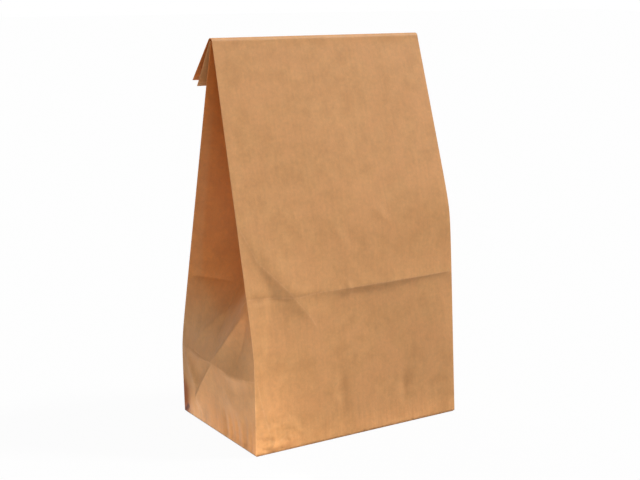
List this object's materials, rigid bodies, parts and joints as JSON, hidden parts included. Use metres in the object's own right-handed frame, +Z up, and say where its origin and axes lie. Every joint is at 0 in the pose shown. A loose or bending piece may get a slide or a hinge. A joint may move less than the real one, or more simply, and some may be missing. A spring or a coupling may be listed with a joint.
{
  "type": "paper lunch bag",
  "caption": "Brown kraft paper lunch bag, standing closed, with pleated sides, a flat base and its top folded down behind it.",
  "frame": {"origin": "middle of the flat base, on the surface that the bag stands on", "axes": "+X across the bag's width, to the right of someone facing the front panel; -Y out of the front panel; +Z up to the folded ridge"},
  "size_m": [0.133, 0.0809, 0.206],
  "materials": {
    "kraft_paper": "matte unbleached kraft with a faint machine glaze"
  },
  "bodies": {
    "root": {"paper_bag": "kraft_paper"}
  },
  "joints": []
}
